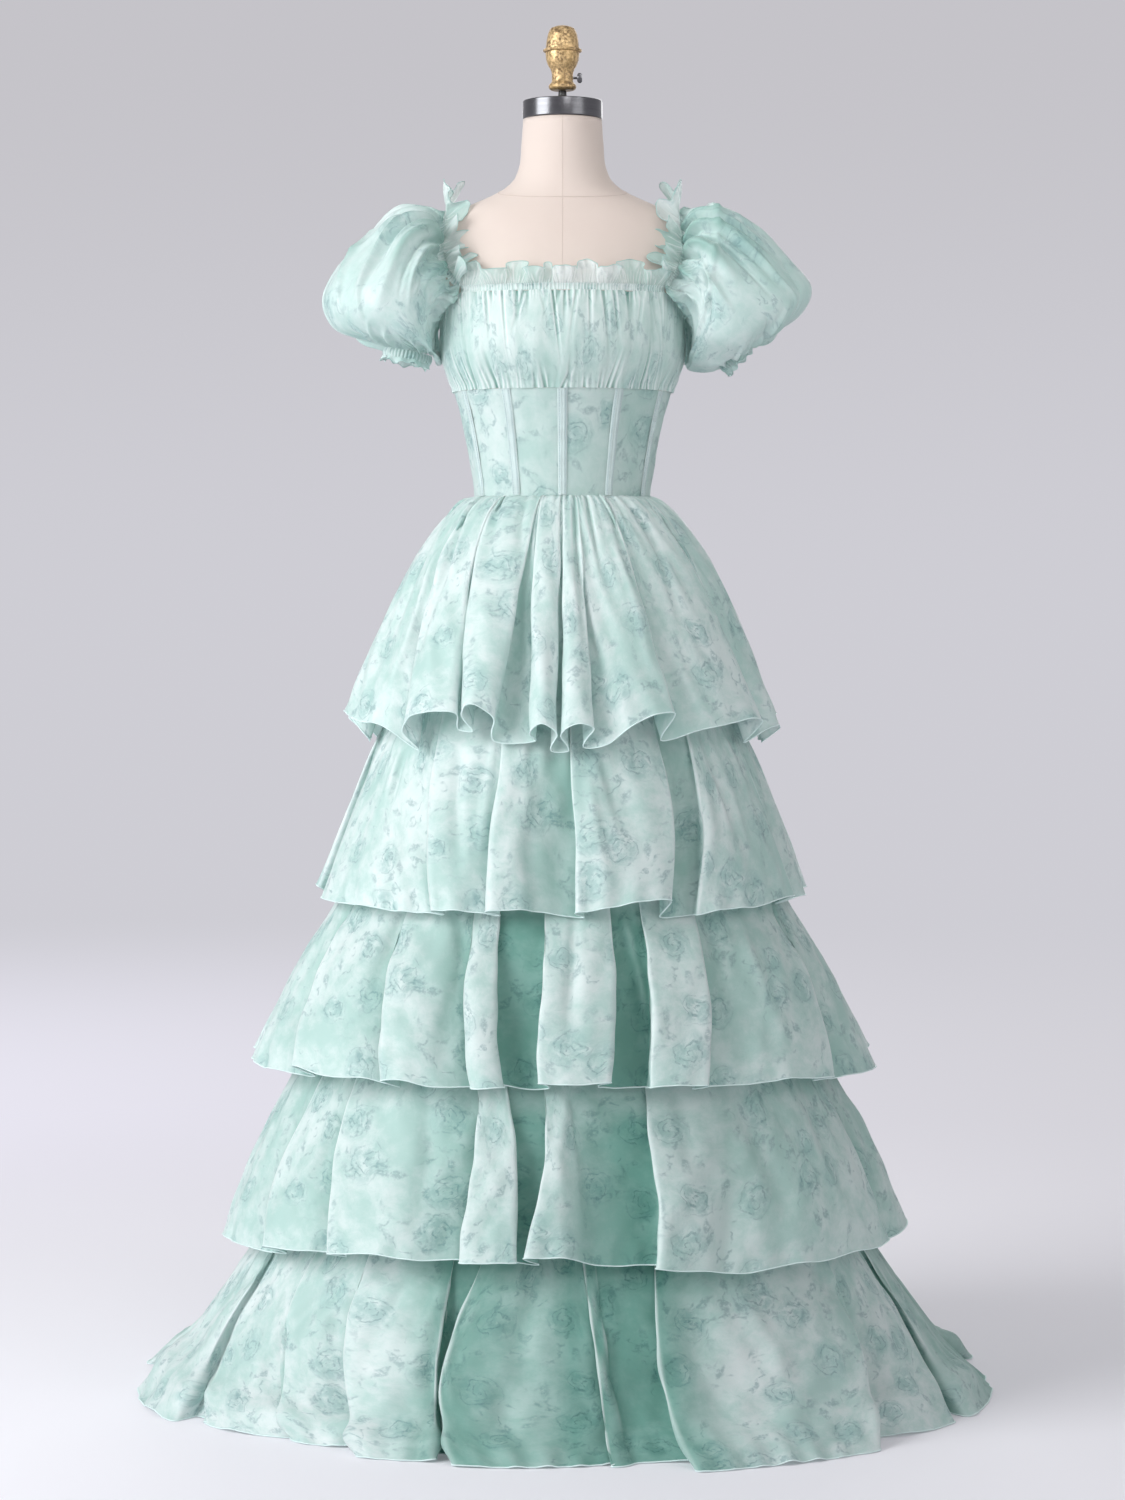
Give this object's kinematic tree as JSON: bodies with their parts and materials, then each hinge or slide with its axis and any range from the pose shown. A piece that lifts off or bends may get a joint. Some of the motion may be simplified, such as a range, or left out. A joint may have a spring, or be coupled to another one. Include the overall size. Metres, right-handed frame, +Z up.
{
  "type": "prom dress on a dress form",
  "caption": "Floor-length tiered ruffle gown with puff sleeves, square frilled neckline and boned midriff, standing on a headless dress form with a pole and base.",
  "frame": {"origin": "on the floor at the centre of the stand's base, on the axis of the form's pole", "axes": "+Z up, the dress faces -Y, +X is the wearer's left"},
  "size_m": [1.1067, 1.1252, 1.721],
  "materials": {
    "organza": "sheer printed organza, soft sheen",
    "lining": "plain woven lining",
    "channel": "stitched satin tape",
    "linen": "cream linen cover, matt",
    "steel": "brushed",
    "zip_metal": "enamelled to match the cloth",
    "black_metal": "satin black",
    "brass": "aged, satin",
    "iron": "satin black paint"
  },
  "bodies": {
    "dress": {"bone_centre": "channel", "bone_front_left": "channel", "bone_front_right": "channel", "bone_side_left": "channel", "bone_side_right": "channel", "bust_back_left": "organza", "bust_back_right": "organza", "bust_front": "organza", "cuff_casing_left": "organza", "cuff_casing_right": "organza", "cuff_frill_left": "organza", "cuff_frill_right": "organza", "form_base": "iron", "form_flange": "black_metal", "form_knob": "brass", "form_knob_ring": "brass", "form_neck_cap": "steel", "form_pole": "steel", "form_torso": "linen", "midriff_back_left": "organza", "midriff_back_right": "organza", "midriff_centre_left": "organza", "midriff_centre_right": "organza", "midriff_side_front_left": "organza", "midriff_side_front_right": "organza", "midriff_side_left": "organza", "midriff_side_right": "organza", "neck_casing_back_left": "organza", "neck_casing_back_right": "organza", "neck_casing_front": "organza", "neck_frill_back_left": "organza", "neck_frill_back_right": "organza", "neck_frill_front": "organza", "shoulder_casing_left": "organza", "shoulder_casing_right": "organza", "shoulder_frill_left": "organza", "shoulder_frill_right": "organza", "sleeve_left": "organza", "sleeve_right": "organza", "tier_1_back": "organza", "tier_1_front": "organza", "tier_2_back": "organza", "tier_2_front": "organza", "tier_3_back": "organza", "tier_3_front": "organza", "tier_4_back": "organza", "tier_4_front": "organza", "tier_5_back": "organza", "tier_5_front": "organza", "underskirt_back": "lining", "underskirt_front": "lining", "zip_slider": "zip_metal", "zip_strip": "lining"},
    "zip_pull": {"zip_pull": "zip_metal"},
    "thumb_screw": {"thumb_screw": "steel"}
  },
  "joints": [
    {"name": "zip_pull_hinge", "type": "hinge", "parent": "dress", "child": "zip_pull", "pos_m": [0, 0.11367, 1.384], "axis": [1, 0, 0], "range_deg": [0, 150]},
    {"name": "thumb_screw_turn", "type": "hinge", "parent": "dress", "child": "thumb_screw", "pos_m": [0.0135, 0, 1.656], "axis": [1, 0, 0], "continuous": true}
  ]
}
